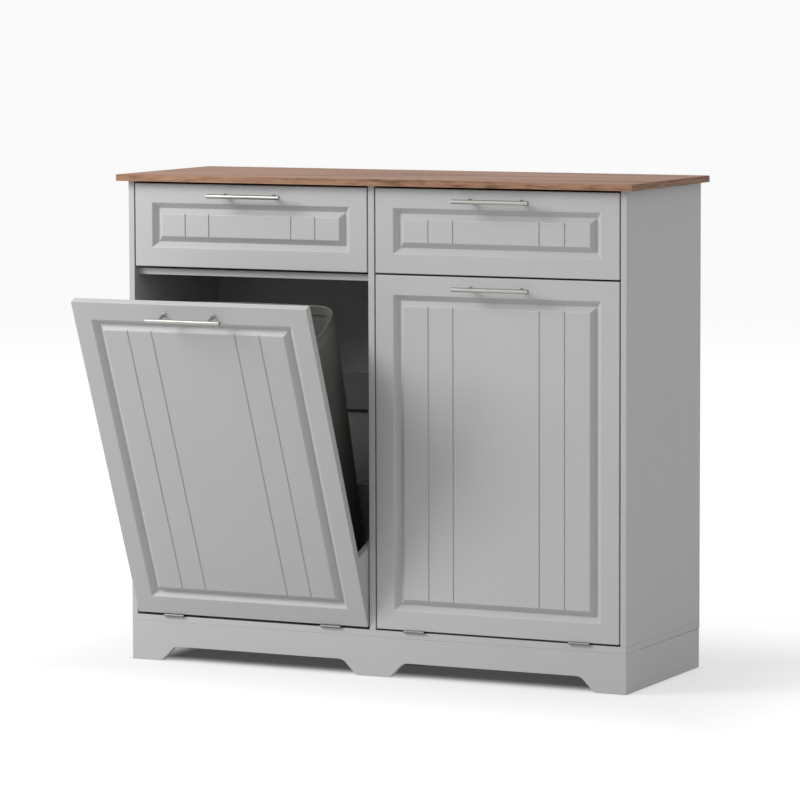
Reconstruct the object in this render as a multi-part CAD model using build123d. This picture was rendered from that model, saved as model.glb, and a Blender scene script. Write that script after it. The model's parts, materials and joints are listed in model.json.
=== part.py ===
from build123d import *
import math
import os

# A free-standing kitchen cabinet: two tilt-out bins under two drawers, on an arched plinth.
# Millimetres. X runs to the cabinet's right, Y to its back, Z up. The origin is on the floor,
# under the middle of the carcase. At rest the left bin stands tilted open, and the right bin
# and both drawers are shut.

# Carcase
carcase_width = 1000.0
carcase_depth = 346.0
carcase_top = 893.0  # underside of the worktop, above the floor
board = 12.0
back_panel_thickness = 4.0
back_panel_inset = 14.0  # from the carcase's back edges to the panel's rear face
groove_depth = 6.0
groove_bite = 5.0  # how far the back panel reaches into its grooves
groove_slack = 0.1  # on each face of the back panel
corner_round = 1.5  # the carcase's upright outer corners
arris = 0.6  # the small rounding along a board's seen edges

# Worktop
worktop_thickness = 12.0
worktop_side_overhang = 17.0
worktop_front_overhang = 17.0

# Plinth
plinth_height = 73.0
plinth_board = 12.0
plinth_rear_inset = 2.0
arch_height = 27.5
side_foot = 62.0  # a foot's width at the floor, before its corner is rounded
centre_foot = 68.0
arch_round = 20.0
foot_round = 9.0
foot_corner_round = 4.0
centre_leg_width = 60.0
rear_rail_setback = 12.0

# Shelves and rails
shelf_drop = 1.0  # the drawer shelf's top, below the door's top edge
door_stop_gap = 0.5  # between the shut door's back and the shelf's front edge
back_rail_low = 451.0
back_rail_height = 68.0

# Door and drawer fronts
front_thickness = 15.0
front_side_gap = 2.5
gap_above_drawer = 4.0
gap_between_fronts = 3.2
gap_below_door = 3.5
drawer_front_height = 153.3
frame_width = 35.6  # the flat frame round the routed valley
valley_run = 10.3  # width of each of the valley's two slopes
valley_depth = 9.5
groove_width = 3.0
front_groove_depth = 1.8
groove_offsets = (84.5, 133.5)  # each side of a front's middle
front_round = 1.2

# Handles
handle_length = 149.5
handle_radius = 4.0
handle_post_spacing = 100.0
handle_post_radius = 3.0
handle_collar_radius = 4.5
handle_collar_height = 3.0
handle_reach = 26.5  # from the front's face to the bar's axis
handle_drop = 20.5  # from the front's top edge to the bar's axis
handle_screw_radius = 2.0
handle_screw_bite = 10.0  # thread inside the post
screw_clearance = 0.2  # round a machine screw where it passes through a front
thread_slack = 0.05
pan_head_radius = 4.0
pan_head_height = 2.4
recess_length = 3.0  # the cross slot in a screw's head
recess_width = 0.7
recess_depth = 1.0

# Door hinges
open_angle = 22.0  # the tilted bin's rest position, and the end of its swing
hinge_length = 40.0
hinge_inset = 56.0  # from the hinge's outer end to the door's edge
hinge_leaf = 1.2
leaf_rear_inset = 2.0  # from a leaf's rear edge to the door's back
knuckle_radius = 2.5
knuckle_count = 3
knuckle_gap = 0.4
knuckle_clear = 0.1  # from a knuckle to the carcase's front plane
pin_radius = 1.2
pin_clear = 0.05
pin_head_radius = 1.9
pin_head_height = 0.8
leaf_screw_offset = 13.0  # from the hinge's middle
leaf_screw_cover = 2.7  # wood left past a leaf screw's point, across a carcase board
leaf_screw_radius = 1.5
leaf_screw_head_radius = 2.6
pilot_slack = 0.5  # past the end of a screw or dowel

# Bin carriers
tray_height = 137.0  # top of its sides, above the hinge's axis
tray_back_rise = 5.0  # its back board stands this much above its sides
tray_rear_clear = 38.0  # from its back to the back panel, shut
tray_floor_clear = 10.0  # above the carcase's bottom board
stop_rear_inset = 30.6  # from the carrier's back to the middle of a stop block
stop_block_length = 30.0
stop_block_height = 30.0
stop_block_width = 14.0
bumper_radius = 5.0
bumper_height = 3.0
bumper_gap = 0.3

# Bins
bin_head_clear = 107.5  # from the rim to the drawer shelf, shut
bin_side_room = 46.2  # from the bin to the carrier's side, each way
bin_front_gap = 3.4  # from the door's back to the bin
bin_rear_gap = 18.3  # from the bin to the carrier's back
bin_side_radius = 252.0
bin_face_radius = 2500.0
bin_corner_radius = 48.0
bin_wall = 2.6
bin_floor = 3.0
bin_draft = 3.0
bin_collar_height = 19.5
bin_collar_step = 2.0  # the collar is drawn in this much from the body, each way
bin_shoulder_height = 6.0  # the slope between the body and the collar
bin_foot_round = 9.0
bin_rim_round = 1.0

# Drawer boxes
drawer_clear_below = 13.5  # from the shelf to the box
drawer_clear_above = 38.0  # from the box to the worktop
drawer_rear_clear = 17.0  # from the box to the back panel
drawer_board = 12.0
drawer_bottom_thickness = 4.0
drawer_bottom_raise = 10.0  # underside of the bottom, above the box's lower edge
drawer_groove_bite = 5.0  # how far the bottom reaches into its grooves
drawer_groove_depth = 5.5
drawer_groove_slack = 0.1  # above and below the bottom

# Drawer runners
runner_setback = 2.0  # behind the drawer front
runner_rear_clear = 11.0  # from a runner to the back panel
runner_overlap = 90.0  # of the two members with the drawer fully open
runner_rise = 45.0  # runner's middle, above the box's lower edge
runner_height = 27.0
runner_sheet = 1.2
channel_drawer_gap = 1.0  # from the channel's lips to the drawer's side
ball_radius = 1.95
ball_slack = 0.05  # between a ball and each of its two tracks
ball_lip_gap = 0.15  # between a ball's side and the lips beside it
ball_pitch = 11.0
balls_in_row = 7
cage_sheet = 0.6
cage_gap = 0.3
cage_pocket_slack = 0.1
cage_lead = 2.75  # ahead of the cage, inside the channel, with the drawer fully open

# Dowels and screws
dowel_radius = 3.0
dowel_slack = 0.05
dowel_length = 28.0
dowel_depth = 8.0  # the shorter end, in a board's face
dowel_front_inset = 63.0  # from the carcase's front
dowel_rear_inset = 45.0  # from the back panel
shelf_dowel_shift = 15.0  # keeps the two shelves' dowels apart in the divider
back_screw_cover = 2.0  # wood left past a screw's point, across a rail
back_screw_radius = 1.5
back_screw_head_radius = 3.2
back_screw_head_height = 1.8
back_screw_head_rim = 0.36  # the upright edge below the head's rounding
back_screw_end_gap = 60.0

TOUCH = 1e-3

front_y = -carcase_depth / 2
back_y = carcase_depth / 2
half_width = carcase_width / 2
inner_half = half_width - board
floor_z = plinth_height + board
bay_width = (carcase_width - 3 * board) / 2
panel_y = back_y - back_panel_inset - back_panel_thickness
front_width = bay_width - 2 * front_side_gap
door_low = floor_z + gap_below_door
drawer_high = carcase_top - gap_above_drawer
drawer_low = drawer_high - drawer_front_height
door_high = drawer_low - gap_between_fronts
shelf_top = door_high - shelf_drop
shelf_front_y = front_y + front_thickness + door_stop_gap
door_back_y = front_y + front_thickness
pivot_y = front_y - knuckle_radius - knuckle_clear
pivot_z = floor_z + gap_below_door / 2
leaf_rear_y = door_back_y - leaf_rear_inset
leaf_screw_length = hinge_leaf + board - leaf_screw_cover
tray_low = floor_z + tray_floor_clear
tray_top = pivot_z + tray_height
tray_back_y = panel_y - tray_rear_clear
stop_along = tray_back_y - stop_rear_inset - pivot_y
bin_low = tray_low + board
bin_height = shelf_top - board - bin_head_clear - bin_low
bin_width = front_width - 2 * (board + bin_side_room)
bin_front_y = door_back_y + bin_front_gap
bin_depth = tray_back_y - board - bin_rear_gap - bin_front_y
drawer_box_low = shelf_top + drawer_clear_below
drawer_box_top = carcase_top - drawer_clear_above
drawer_back_y = panel_y - drawer_rear_clear
rail_wall_gap = runner_sheet + cage_sheet + 2 * cage_gap
channel_drawer_side = rail_wall_gap + 2 * (runner_sheet + ball_radius + ball_lip_gap)
runner_thickness = channel_drawer_side + channel_drawer_gap
runner_lip = ball_radius + ball_slack - cage_sheet / 2 - cage_gap
runner_z = drawer_box_low + runner_rise
runner_front_y = door_back_y + runner_setback
runner_length = panel_y - runner_rear_clear - runner_front_y
drawer_travel = runner_length - runner_overlap
cage_front_y = runner_front_y + drawer_travel / 2 + cage_lead
back_screw_length = back_panel_thickness + board - back_screw_cover
side_sign = {"left": -1, "right": 1}
rest_angle = {"left": open_angle, "right": 0.0}
bay_x = {side: sign * (board + bay_width) / 2 for side, sign in side_sign.items()}


def block(x0, x1, y0, y1, z0, z1):
    """A square-cornered board between two corners."""
    middle = Pos((x0 + x1) / 2, (y0 + y1) / 2, (z0 + z1) / 2)
    return middle * Box(abs(x1 - x0), abs(y1 - y0), abs(z1 - z0))


def edges_at(part, x=None, y=None, z=None):
    """The part's edges that lie wholly at the given coordinates."""

    def lies_there(edge):
        box = edge.bounding_box()
        spans = ((x, box.min.X, box.max.X), (y, box.min.Y, box.max.Y), (z, box.min.Z, box.max.Z))
        return all(at is None or max(abs(low - at), abs(high - at)) < TOUCH for at, low, high in spans)

    return part.edges().filter_by(lies_there)


def ease(part, radius, *places):
    """Rounds the edges found at each place, one place after another."""
    for place in places:
        part = fillet(edges_at(part, **place), radius)
    return part


def rod(start, direction, length, radius):
    """A round bar from a point along a direction."""
    return Plane(origin=start, z_dir=direction) * (Pos(0, 0, length / 2) * Cylinder(radius, length))


def group(pieces):
    """Separate solids kept side by side in one node."""
    return Compound([solid for piece in pieces for solid in piece.solids()])


def cut(part, tools):
    """The part with every tool's space taken out."""
    for tool in tools:
        part = part - tool
    return part


def swung(side, shape):
    """A piece of a bin unit, drawn shut, turned to where that unit stands at rest."""
    return shape.rotate(Axis((0, pivot_y, pivot_z), (1, 0, 0)), rest_angle[side])


# Dowels


def dowel_places():
    """Where each dowel crosses a joint, and the way its longer end points."""
    places = []
    rows = (front_y + dowel_front_inset, panel_y - dowel_rear_inset)
    for x in (board / 2 - half_width, 0.0, half_width - board / 2):
        for y in rows:
            places.append(((x, y, floor_z), (0, 0, 1)))
            places.append(((x, y, carcase_top), (0, 0, -1)))
    for sign in side_sign.values():
        for y in rows:
            at_y = y - sign * shelf_dowel_shift
            places.append(((sign * inner_half, at_y, shelf_top - board / 2), (-sign, 0, 0)))
            places.append(((sign * board / 2, at_y, shelf_top - board / 2), (sign, 0, 0)))
    return places


def dowel(place, slack=0.0, past=0.0):
    """A dowel across a joint, or with slack and past the hole that it goes in."""
    start, way = Vector(place[0]), Vector(place[1])
    return rod(start - way * (dowel_depth + past), way, dowel_length + 2 * past, dowel_radius + slack)


dowel_holes = [dowel(place, dowel_slack, pilot_slack) for place in dowel_places()]


# Screws through the back panel


def back_screw_places():
    """Screws from the back, into the rails, the shelves and the divider."""
    reach = bay_width / 2 - back_screw_end_gap
    heights = (back_rail_low + back_rail_height / 2, shelf_top - board / 2)
    columns = [bay_x[side] + step * reach for side in side_sign for step in (-1, 0, 1)]
    places = [(x, z) for x in columns for z in heights]
    low, high = floor_z + back_screw_end_gap, carcase_top - back_screw_end_gap
    places += [(0.0, low + share * (high - low) / 3) for share in range(4)]
    return places


def back_screw(x, z, slack=0.0):
    """A round-headed screw driven forward through the back panel, or its hole."""
    rear = panel_y + back_panel_thickness
    shank = rod((x, rear, z), (0, -1, 0), back_screw_length, back_screw_radius + slack)
    if slack:
        return shank
    head = rod((x, rear, z), (0, 1, 0), back_screw_head_height, back_screw_head_radius)
    top = rear + back_screw_head_height
    dome = fillet(edges_at(head, y=top), back_screw_head_height - back_screw_head_rim)
    return dome + shank - cross_recess((x, top, z), (0, 1, 0))


def cross_recess(top, outwards):
    """The cross-shaped driver slot sunk into a screw's head."""
    along = Box(recess_length, recess_width, 2 * recess_depth)
    across = Box(recess_width, recess_length, 2 * recess_depth)
    return Plane(origin=top, z_dir=outwards) * (along + across)


back_screw_holes = [back_screw(x, z, thread_slack) for x, z in back_screw_places()]


# Carcase boards


def side_panel(sign):
    """Stands on the bottom board, with a groove for the back panel."""
    outer, inner = sign * half_width, sign * inner_half
    panel = block(outer, inner, front_y, back_y, floor_z, carcase_top)
    panel = ease(panel, corner_round, {"x": outer, "y": front_y})
    panel = ease(panel, arris, {"x": outer, "z": floor_z}, {"x": outer, "y": back_y})
    return cut(panel, [back_groove(sign), *dowel_holes])


def back_groove(sign):
    """The groove in a side panel's inner face."""
    inner = sign * inner_half
    low_y, high_y = panel_y - groove_slack, panel_y + back_panel_thickness + groove_slack
    return block(inner, inner + sign * groove_depth, low_y, high_y, floor_z, carcase_top)


def centre_divider():
    """The upright between the bays, as deep as the back panel allows."""
    divider = block(-board / 2, board / 2, front_y, panel_y, floor_z, carcase_top)
    return cut(divider, dowel_holes + back_screw_holes)


def bottom_board():
    """Lies on the plinth and carries the uprights and the hinges."""
    base = block(-half_width, half_width, front_y, back_y, plinth_height, floor_z)
    corners = [{"x": x, "y": front_y} for x in (-half_width, half_width)]
    base = ease(base, corner_round, *corners)
    base = ease(base, arris, {"y": back_y, "z": floor_z}, {"y": back_y, "z": plinth_height})
    reach = inner_half + groove_depth
    low_y, high_y = panel_y - groove_slack, panel_y + back_panel_thickness + groove_slack
    groove = block(-reach, reach, low_y, high_y, floor_z - groove_depth, floor_z)
    pilots = [screw for side in side_sign for screw in leaf_pilots(side, -1)]
    return cut(base, [groove, *dowel_holes, *pilots])


def drawer_shelf(sign):
    """Under the drawer; its front edge is the shut door's stop."""
    shelf = block(sign * board / 2, sign * inner_half, shelf_front_y, panel_y, shelf_top - board, shelf_top)
    shelf = ease(shelf, arris, {"y": shelf_front_y, "z": shelf_top - board})
    return cut(shelf, dowel_holes + back_screw_holes)


def back_panel():
    """A thin sheet in the grooves of the sides and the bottom board."""
    reach = inner_half + groove_bite
    rear = panel_y + back_panel_thickness
    sheet = block(-reach, reach, panel_y, rear, floor_z - groove_bite, carcase_top)
    return cut(sheet, back_screw_holes)


def back_rail(sign):
    """Stiffens the back panel across a bay."""
    high = back_rail_low + back_rail_height
    rail = block(sign * board / 2, sign * inner_half, panel_y - board, panel_y, back_rail_low, high)
    rail = ease(rail, arris, {"y": panel_y - board, "z": high}, {"y": panel_y - board, "z": back_rail_low})
    return cut(rail, back_screw_holes)


def worktop():
    """Overhangs the carcase at the front and the sides."""
    reach = half_width + worktop_side_overhang
    lip = front_y - worktop_front_overhang
    high = carcase_top + worktop_thickness
    top = block(-reach, reach, lip, back_y, carcase_top, high)
    top = ease(top, corner_round, {"x": -reach, "y": lip}, {"x": reach, "y": lip})
    top = fillet(edges_at(top, z=high), arris)
    return cut(top, dowel_holes)


# Plinth


def footprint():
    """The carcase's outline with its rounded front corners, as tall as the plinth."""
    outline = Rectangle(carcase_width, carcase_depth)
    return extrude(fillet(outline.vertices(), corner_round), plinth_height)


def front_plinth():
    """An arched board with mitred ends and three feet."""
    back = front_y + plinth_board
    inner = half_width - plinth_board
    plan = Polygon((-half_width, front_y), (half_width, front_y), (inner, back), (-inner, back), align=None)
    blank = extrude(plan, plinth_height) & footprint()
    return blank & extrude(Plane.XZ * plinth_outline(), -front_y + plinth_board, both=True)


def plinth_outline():
    """Front view of the arched board: slopes at 45 degrees between rounded corners."""
    outline = Pos(0, plinth_height / 2) * Rectangle(carcase_width, plinth_height)
    outline = fillet(outline.vertices().group_by(Axis.Y)[0], foot_corner_round)
    near, far = centre_foot / 2, half_width - side_foot
    for sign in side_sign.values():
        points = [(near, 0), (near + arch_height, arch_height), (far - arch_height, arch_height), (far, 0)]
        outline -= Polygon(*[(sign * x, z) for x, z in points], align=None)
    corners = outline.vertices()
    tops = [v for v in corners if abs(v.Y - arch_height) < TOUCH]
    outline = fillet(tops, arch_round)
    feet = [v for v in outline.vertices() if abs(v.Y) < TOUCH and abs(abs(v.X) - near) < TOUCH]
    feet += [v for v in outline.vertices() if abs(v.Y) < TOUCH and abs(abs(v.X) - far) < TOUCH]
    return fillet(feet, foot_round)


def side_plinth(sign):
    """A straight board, mitred to the front one."""
    outer, inner = sign * half_width, sign * (half_width - plinth_board)
    rear = back_y - plinth_rear_inset
    mitre_y = front_y + plinth_board
    plan = Polygon((outer, front_y), (inner, mitre_y), (inner, rear), (outer, rear), align=None)
    plinth = extrude(make_face(plan.edges()), plinth_height) & footprint()
    return ease(plinth, foot_corner_round, {"y": rear, "z": 0.0})


def rear_plinth_rail():
    """Joins the side plinths at the back."""
    inner = half_width - plinth_board
    rear = back_y - plinth_rear_inset - rear_rail_setback
    return block(-inner, inner, rear - plinth_board, rear, 0.0, plinth_height)


def centre_leg():
    """A square leg under the middle of the bottom board."""
    half = centre_leg_width / 2
    leg = block(-half, half, -half, half, 0.0, plinth_height)
    return ease(leg, arris, *[{"x": x, "y": y} for x in (-half, half) for y in (-half, half)])


# Fronts


def routed_front(x, low, high):
    """A front with a V-shaped valley inside its frame and fine upright grooves across its field."""
    height = high - low
    face = Pos(0, front_thickness / 2, 0) * Box(front_width, front_thickness, height)
    face = fillet(edges_at(face, y=0.0), front_round)

    def level(inset, depth):
        return Plane.XZ.offset(-depth) * Rectangle(front_width - 2 * inset, height - 2 * inset)

    middle = level(frame_width + valley_run, valley_depth)
    hollow = loft([level(frame_width, 0.0), middle], ruled=True)
    field = loft([level(frame_width + 2 * valley_run, 0.0), middle], ruled=True)
    face = face - (hollow - field)
    run = height / 2 - frame_width - valley_run
    half = groove_width / 2
    notch = Polygon((-half, 0), (half, 0), (0, front_groove_depth), align=None)
    for offset in groove_offsets:
        for sign in (-1, 1):
            face = face - Pos(sign * offset, 0, 0) * extrude(notch, run, both=True)
    return Pos(x, front_y, (low + high) / 2) * face


def handle_places(x, top):
    """The two posts' middles for a handle on a front with this top edge."""
    return [(x + sign * handle_post_spacing / 2, top - handle_drop) for sign in (-1, 1)]


def handle_bar(x, top):
    """A plain round bar across the front."""
    start = (x - handle_length / 2, front_y - handle_reach, top - handle_drop)
    bar = rod(start, (1, 0, 0), handle_length, handle_radius)
    return fillet(bar.edges().filter_by(GeomType.CIRCLE), arris)


def handle_post(x, z):
    """A turned post with a collar at the front's face and a saddle that holds the bar."""
    stem = rod((x, front_y, z), (0, -1, 0), handle_reach, handle_post_radius)
    collar = rod((x, front_y, z), (0, -1, 0), handle_collar_height, handle_collar_radius)
    slope = handle_collar_radius - handle_post_radius - arris
    collar = chamfer(edges_at(collar, y=front_y - handle_collar_height), slope)
    bar_start = (x - handle_length / 2, front_y - handle_reach, z)
    bar = rod(bar_start, (1, 0, 0), handle_length, handle_radius + thread_slack)
    thread_length = handle_screw_bite + pilot_slack
    thread = rod((x, front_y, z), (0, -1, 0), thread_length, handle_screw_radius + thread_slack)
    return stem + collar - bar - thread


def handle_screw(x, z):
    """A pan-headed machine screw from behind the front into the post."""
    length = front_thickness + handle_screw_bite
    shank = rod((x, door_back_y, z), (0, -1, 0), length, handle_screw_radius)
    head = rod((x, door_back_y, z), (0, 1, 0), pan_head_height, pan_head_radius)
    head = fillet(edges_at(head, y=door_back_y + pan_head_height), pan_head_height / 2)
    return head + shank - cross_recess((x, door_back_y + pan_head_height, z), (0, 1, 0))


def handle_holes(x, top):
    """Clearance holes through a front for its handle's screws."""
    radius = handle_screw_radius + screw_clearance
    return [rod((at, front_y, z), (0, 1, 0), front_thickness, radius) for at, z in handle_places(x, top)]


# Hinges


def hinge_middles(side):
    """The two hinges' middles across a door."""
    reach = front_width / 2 - hinge_inset - hinge_length / 2
    return [bay_x[side] + sign * reach for sign in (-1, 1)]


def knuckle_spans(x):
    """Low and high X of each knuckle, from left to right."""
    width = (hinge_length - (knuckle_count - 1) * knuckle_gap) / knuckle_count
    starts = [x - hinge_length / 2 + i * (width + knuckle_gap) for i in range(knuckle_count)]
    return [(start, start + width) for start in starts]


def hinge_leaf_piece(x, up):
    """One leaf with its own knuckles: up is -1 on the bottom board and 1 under the door."""
    seat = pivot_z + up * gap_below_door / 2
    near = seat - up * hinge_leaf
    leaf = block(x - hinge_length / 2, x + hinge_length / 2, pivot_y, leaf_rear_y, seat, near)
    own = 0 if up < 0 else 1
    for i, (low, high) in enumerate(knuckle_spans(x)):
        if i % 2 == own:
            leaf = leaf + rod((low, pivot_y, pivot_z), (1, 0, 0), high - low, knuckle_radius)
        else:
            clear = block(
                low - knuckle_gap, high + knuckle_gap,
                pivot_y - knuckle_radius, pivot_y + knuckle_radius + knuckle_gap, seat, near,
            )
            leaf = leaf - clear
    bore = rod((x - hinge_length / 2, pivot_y, pivot_z), (1, 0, 0), hinge_length, pin_radius + pin_clear)
    return cut(leaf - bore, [leaf_screw(at, up, thread_slack) for at in leaf_screw_xs(x)])


def hinge_pin(x):
    """A headed pin through every knuckle, fast in the lower leaf."""
    start = x - hinge_length / 2
    pin = rod((start, pivot_y, pivot_z), (1, 0, 0), hinge_length, pin_radius)
    for at, way in ((start - pin_clear, -1), (start + hinge_length + pin_clear, 1)):
        neck = rod((at - way * pin_clear, pivot_y, pivot_z), (way, 0, 0), pin_clear, pin_radius)
        pin = pin + neck + rod((at, pivot_y, pivot_z), (way, 0, 0), pin_head_height, pin_head_radius)
    return pin


def leaf_screw_xs(x):
    """The two screws' places along a leaf."""
    return [x + sign * leaf_screw_offset for sign in (-1, 1)]


def leaf_screw(x, up, slack=0.0):
    """A countersunk screw through a leaf, or with slack the space it takes."""
    y = (front_y + leaf_rear_y) / 2
    near = pivot_z + up * (gap_below_door / 2 - hinge_leaf)
    cone = Cone(leaf_screw_head_radius + slack, leaf_screw_radius + slack, hinge_leaf)
    head = Plane(origin=(x, y, near), z_dir=(0, 0, up)) * (Pos(0, 0, hinge_leaf / 2) * cone)
    past = pilot_slack if slack else 0.0
    return head + rod((x, y, near), (0, 0, up), leaf_screw_length + past, leaf_screw_radius + slack)


def leaf_pilots(side, up):
    """Pilot holes for one door's leaf screws."""
    return [leaf_screw(at, up, thread_slack) for x in hinge_middles(side) for at in leaf_screw_xs(x)]


# Tilt-out units, drawn shut


def door(side):
    """The tall front of a bin unit."""
    face = routed_front(bay_x[side], door_low, door_high)
    return cut(face, handle_holes(bay_x[side], door_high) + leaf_pilots(side, 1))


def tray_side(side, sign):
    """A carrier's side board, against the door's back."""
    outer = bay_x[side] + sign * front_width / 2
    plank = block(outer, outer - sign * board, door_back_y, tray_back_y, tray_low, tray_top)
    return ease(plank, arris, {"x": outer, "z": tray_top}, {"x": outer - sign * board, "z": tray_top})


def tray_inner(side):
    """Low and high X between a carrier's sides."""
    half = front_width / 2 - board
    return bay_x[side] - half, bay_x[side] + half


def tray_back(side):
    """A carrier's back board, between its sides."""
    low, high = tray_inner(side)
    return block(low, high, tray_back_y - board, tray_back_y, tray_low, tray_top + tray_back_rise)


def tray_base(side):
    """The board that the bin stands on."""
    low, high = tray_inner(side)
    return block(low, high, door_back_y, tray_back_y - board, tray_low, tray_low + board)


def bin_plan(inset):
    """The bin's outline, drawn in all round: four gentle arcs with rounded corners."""
    half_w, half_d = bin_width / 2, bin_depth / 2
    side_arc, face_arc = Circle(bin_side_radius - inset), Circle(bin_face_radius - inset)
    plan = Pos(half_w - bin_side_radius, 0) * side_arc & Pos(bin_side_radius - half_w, 0) * side_arc
    plan = plan & Pos(0, half_d - bin_face_radius) * face_arc & Pos(0, bin_face_radius - half_d) * face_arc
    return fillet(plan.vertices(), bin_corner_radius - inset)


def bin_shell(side):
    """A tapered plastic bin with a narrower collar round its mouth, thick enough to ledge inside."""
    waist = bin_height - bin_collar_height
    neck = waist + bin_shoulder_height
    taper = math.tan(math.radians(bin_draft))
    foot = waist * taper

    def level(height, inset):
        return Pos(0, 0, height) * bin_plan(inset)

    body = loft([level(0.0, foot), level(waist, 0.0)], ruled=True)
    body = fillet(edges_at(body, z=0.0), bin_foot_round)
    shoulder = loft([level(waist, 0.0), level(neck, bin_collar_step)], ruled=True)
    collar = extrude(level(neck, bin_collar_step), bin_height - neck)
    collar = fillet(edges_at(collar, z=bin_height), bin_rim_round)
    low_inset = foot + bin_wall - bin_floor * taper
    void = loft([level(bin_floor, low_inset), level(waist, bin_wall)], ruled=True)
    void = fillet(edges_at(void, z=bin_floor), bin_foot_round - bin_wall)
    mouth = extrude(level(waist, bin_collar_step + bin_wall), bin_collar_height)
    shell = body + shoulder + collar - void - mouth
    return Pos(bay_x[side], bin_front_y + bin_depth / 2, bin_low) * shell


def stop_places(side):
    """Middles of the carrier's two side boards, which the stops catch."""
    return [bay_x[side] + sign * (front_width - board) / 2 for sign in (-1, 1)]


def stop_block(side, sign):
    """A block on the bay's wall, square to the carrier's edge when it is fully open."""
    wall = bay_x[side] + sign * bay_width / 2
    low = tray_top + bumper_gap + bumper_height
    middle = pivot_y + stop_along
    wedge = block(
        wall, wall - sign * stop_block_width,
        middle - stop_block_length / 2, middle + stop_block_length / 2, low, low + stop_block_height,
    )
    return wedge.rotate(Axis((0, pivot_y, pivot_z), (1, 0, 0)), open_angle)


def stop_bumper(x):
    """A rubber button under a stop block."""
    pad = rod((x, pivot_y + stop_along, tray_top + bumper_gap), (0, 0, 1), bumper_height, bumper_radius)
    pad = fillet(edges_at(pad, z=tray_top + bumper_gap), bumper_height / 2)
    return pad.rotate(Axis((0, pivot_y, pivot_z), (1, 0, 0)), open_angle)


# Drawers


def drawer_outer(side):
    """Low and high X of a drawer box."""
    half = bay_width / 2 - runner_thickness
    return bay_x[side] - half, bay_x[side] + half


def drawer_sheet(side, bite, slack):
    """A sheet across the drawer that bites into its sides and back, thicker by the slack each way."""
    low, high = drawer_outer(side)
    inset = drawer_board - bite
    under = drawer_box_low + drawer_bottom_raise
    over = under + drawer_bottom_thickness
    return block(low + inset, high - inset, door_back_y, drawer_back_y - inset, under - slack, over + slack)


def drawer_bottom(side):
    """The thin bottom."""
    return drawer_sheet(side, drawer_groove_bite, 0.0)


def drawer_grooves(side):
    """The grooves that hold the bottom."""
    return drawer_sheet(side, drawer_groove_depth, drawer_groove_slack)


def drawer_side(side, sign):
    """A side board of the drawer box, butted to the front."""
    low, high = drawer_outer(side)
    outer = low if sign < 0 else high
    inner = outer - sign * drawer_board
    plank = block(outer, inner, door_back_y, drawer_back_y, drawer_box_low, drawer_box_top)
    plank = ease(plank, arris, {"x": outer, "z": drawer_box_top}, {"x": inner, "z": drawer_box_top})
    return plank - drawer_grooves(side)


def drawer_back(side):
    """The back board, between the drawer's sides."""
    low, high = drawer_outer(side)
    x0, x1, y0 = low + drawer_board, high - drawer_board, drawer_back_y - drawer_board
    return block(x0, x1, y0, drawer_back_y, drawer_box_low, drawer_box_top) - drawer_grooves(side)


def drawer_front(side):
    """The front of a drawer."""
    face = routed_front(bay_x[side], drawer_low, drawer_high)
    return cut(face, handle_holes(bay_x[side], drawer_high))


# Runners: all distances run from the bay's wall towards the drawer, then up from the runner's middle


def runner_strip(side, sign, near, far, low, high, start, length):
    """A straight strip of a runner."""
    wall = bay_x[side] + sign * bay_width / 2
    x0, x1 = wall - sign * near, wall - sign * far
    return block(x0, x1, start, start + length, runner_z + low, runner_z + high)


def mirrored_strips(side, sign, near, far, low, high, start, length):
    """The same strip above and below the runner's middle."""
    upper = runner_strip(side, sign, near, far, low, high, start, length)
    return upper + runner_strip(side, sign, near, far, -high, -low, start, length)


channel_inner = runner_height / 2 - runner_sheet
rail_outer = channel_inner - 2 * (ball_radius + ball_slack)
ball_up = (rail_outer + channel_inner) / 2
ball_out = (rail_wall_gap + channel_drawer_side) / 2


def runner_channel(side, sign):
    """The fixed member, a lipped channel on the bay's wall."""
    span = (runner_front_y, runner_length)
    half = runner_height / 2
    far, lip_near = channel_drawer_side, channel_drawer_side - runner_sheet
    web = runner_strip(side, sign, 0.0, runner_sheet, -half, half, *span)
    arms = mirrored_strips(side, sign, 0.0, far, channel_inner, half, *span)
    lips = mirrored_strips(side, sign, lip_near, far, channel_inner - runner_lip, channel_inner, *span)
    return web + arms + lips


def runner_rail(side, sign):
    """The moving member, a smaller lipped channel on the drawer's side."""
    span = (runner_front_y, runner_length)
    near, lip_far = rail_wall_gap, rail_wall_gap + runner_sheet
    far, web_near = runner_thickness, runner_thickness - runner_sheet
    web = runner_strip(side, sign, web_near, far, -rail_outer, rail_outer, *span)
    arms = mirrored_strips(side, sign, near, far, rail_outer - runner_sheet, rail_outer, *span)
    lips = mirrored_strips(side, sign, near, lip_far, rail_outer, rail_outer + runner_lip, *span)
    return web + arms + lips


def ball_places(side, sign):
    """The balls' middles, in a row above and a row below."""
    x = bay_x[side] + sign * (bay_width / 2 - ball_out)
    ys = [cage_front_y + (i + 0.5) * ball_pitch for i in range(balls_in_row)]
    return [(x, y, runner_z + way * ball_up) for y in ys for way in (-1, 1)]


def ball_cage(side, sign):
    """The strip that keeps the balls apart, with a pocket for each."""
    span = (cage_front_y, balls_in_row * ball_pitch)
    near = runner_sheet + cage_gap
    far = channel_drawer_side - runner_sheet - 2 * cage_gap
    web = runner_strip(side, sign, near, near + cage_sheet, -ball_up, ball_up, *span)
    arms = mirrored_strips(side, sign, near, far, ball_up - cage_sheet / 2, ball_up + cage_sheet / 2, *span)
    pockets = [Pos(*place) * Sphere(ball_radius + cage_pocket_slack) for place in ball_places(side, sign)]
    return cut(web + arms, pockets)


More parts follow.
